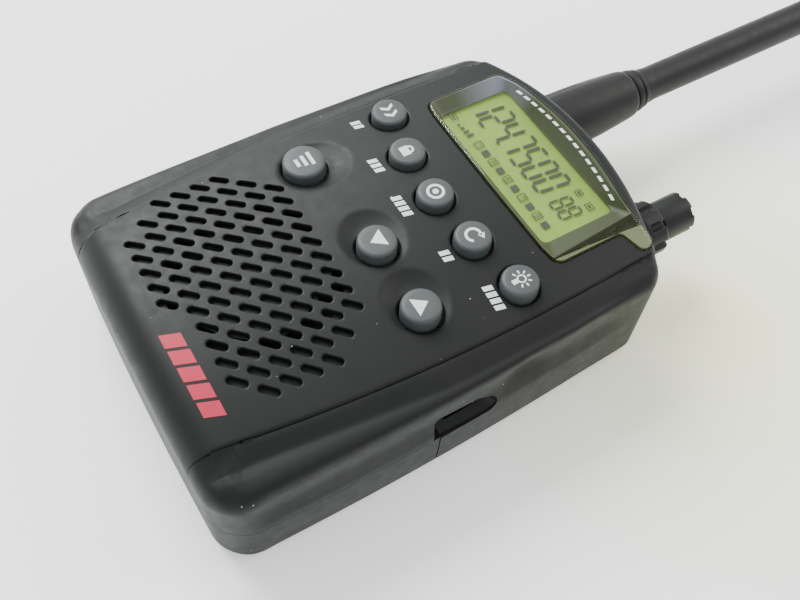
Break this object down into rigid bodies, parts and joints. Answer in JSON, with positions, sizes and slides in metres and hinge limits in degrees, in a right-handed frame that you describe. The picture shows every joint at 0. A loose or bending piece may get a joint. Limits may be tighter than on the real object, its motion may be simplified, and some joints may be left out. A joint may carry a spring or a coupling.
{
  "type": "handheld airband receiver",
  "caption": "Pocket airband radio receiver with display, keypad, speaker grille, concentric knobs, screw-on flexible antenna and slide-off battery cover.",
  "frame": {"origin": "on the back face, on the radio's centre line, 40.1 mm from its bottom end", "axes": "+X the radio's right as its face is read, +Y its antenna end, +Z out of its face"},
  "size_m": [0.0586, 0.2181, 0.0256],
  "materials": {
    "case": "soft-touch black",
    "key": "satin dark grey",
    "knob": "moulded black",
    "antenna_rubber": "satin black",
    "lens": "clear moulded",
    "mask": "printed olive",
    "lcd": "yellow-green reflective",
    "light_guide": "milky",
    "led": "moulded",
    "steel": "plated",
    "brass": "plated",
    "board": "solder mask",
    "chip": "moulded",
    "cone": "paper",
    "cloth": "woven",
    "mat": "silicone",
    "cell": "printed sleeve"
  },
  "bodies": {
    "case": {"front_case": "case", "rear_case": "case", "display_window": "lens", "window_mask": "mask", "lcd_glass": "lcd", "backlight_guide": "light_guide", "backlight_led_left": "led", "backlight_led_right": "led", "keypad_mat": "mat", "speaker_frame": "steel", "speaker_cone": "cone", "speaker_magnet": "steel", "speaker_cloth": "cloth", "main_board": "board", "front_board": "board", "board_header": "chip", "rf_shield": "steel", "receiver_chip": "chip", "audio_chip": "chip", "crystal": "steel", "antenna_socket": "brass", "antenna_nut": "brass", "control_body": "steel", "control_bushing": "brass", "control_nut": "brass", "earphone_jack": "knob", "dc_jack": "knob", "battery_cell_1": "cell", "battery_cell_2": "cell", "battery_contact_1": "steel", "battery_contact_2": "steel", "battery_spring_1": "steel", "battery_spring_2": "steel", "case_screw_1": "steel", "case_screw_2": "steel", "case_screw_3": "steel", "case_screw_4": "steel"},
    "scan_key": {"key_scan": "key"},
    "lock_key": {"key_lock": "key"},
    "monitor_key": {"key_monitor": "key"},
    "recall_key": {"key_recall": "key"},
    "lamp_key": {"key_lamp": "key"},
    "function_key": {"key_function": "key"},
    "down_key": {"key_down": "key"},
    "up_key": {"key_up": "key"},
    "squelch_control": {"squelch_knob": "knob", "squelch_shaft": "brass"},
    "volume_control": {"volume_knob": "knob", "volume_shaft": "brass"},
    "battery_door": {"battery_cover": "case"},
    "antenna": {"antenna_pin": "brass", "antenna_sleeve": "antenna_rubber", "antenna_ring": "antenna_rubber", "antenna_whip": "antenna_rubber"}
  },
  "joints": [
    {"name": "scan_press", "type": "slide", "parent": "case", "child": "scan_key", "axis": [0, 0, -1], "range_m": [0, 0.0006], "stiffness_N_per_m": 300},
    {"name": "lock_press", "type": "slide", "parent": "case", "child": "lock_key", "axis": [0, 0, -1], "range_m": [0, 0.0006], "stiffness_N_per_m": 300},
    {"name": "monitor_press", "type": "slide", "parent": "case", "child": "monitor_key", "axis": [0, 0, -1], "range_m": [0, 0.0006], "stiffness_N_per_m": 300},
    {"name": "recall_press", "type": "slide", "parent": "case", "child": "recall_key", "axis": [0, 0, -1], "range_m": [0, 0.0006], "stiffness_N_per_m": 300},
    {"name": "lamp_press", "type": "slide", "parent": "case", "child": "lamp_key", "axis": [0, 0, -1], "range_m": [0, 0.0006], "stiffness_N_per_m": 300},
    {"name": "function_press", "type": "slide", "parent": "case", "child": "function_key", "axis": [0, 0, -1], "range_m": [0, 0.0006], "stiffness_N_per_m": 300},
    {"name": "down_press", "type": "slide", "parent": "case", "child": "down_key", "axis": [0, 0, -1], "range_m": [0, 0.0006], "stiffness_N_per_m": 300},
    {"name": "up_press", "type": "slide", "parent": "case", "child": "up_key", "axis": [0, 0, -1], "range_m": [0, 0.0006], "stiffness_N_per_m": 300},
    {"name": "squelch_turn", "type": "hinge", "parent": "case", "child": "squelch_control", "pos_m": [0.0149, 0.044, 0.012], "axis": [0, 1, 0], "range_deg": [-150, 120]},
    {"name": "volume_turn", "type": "hinge", "parent": "case", "child": "volume_control", "pos_m": [0.0149, 0.05, 0.012], "axis": [0, 1, 0], "range_deg": [-120, 180]},
    {"name": "battery_door_slide", "type": "slide", "parent": "case", "child": "battery_door", "axis": [0, -1, 0], "range_m": [0, 0.04]},
    {"name": "antenna_turn", "type": "hinge", "parent": "case", "child": "antenna", "pos_m": [-0.0119, 0.05, 0.012], "axis": [0, -1, 0], "range_deg": [0, 1440]}
  ]
}
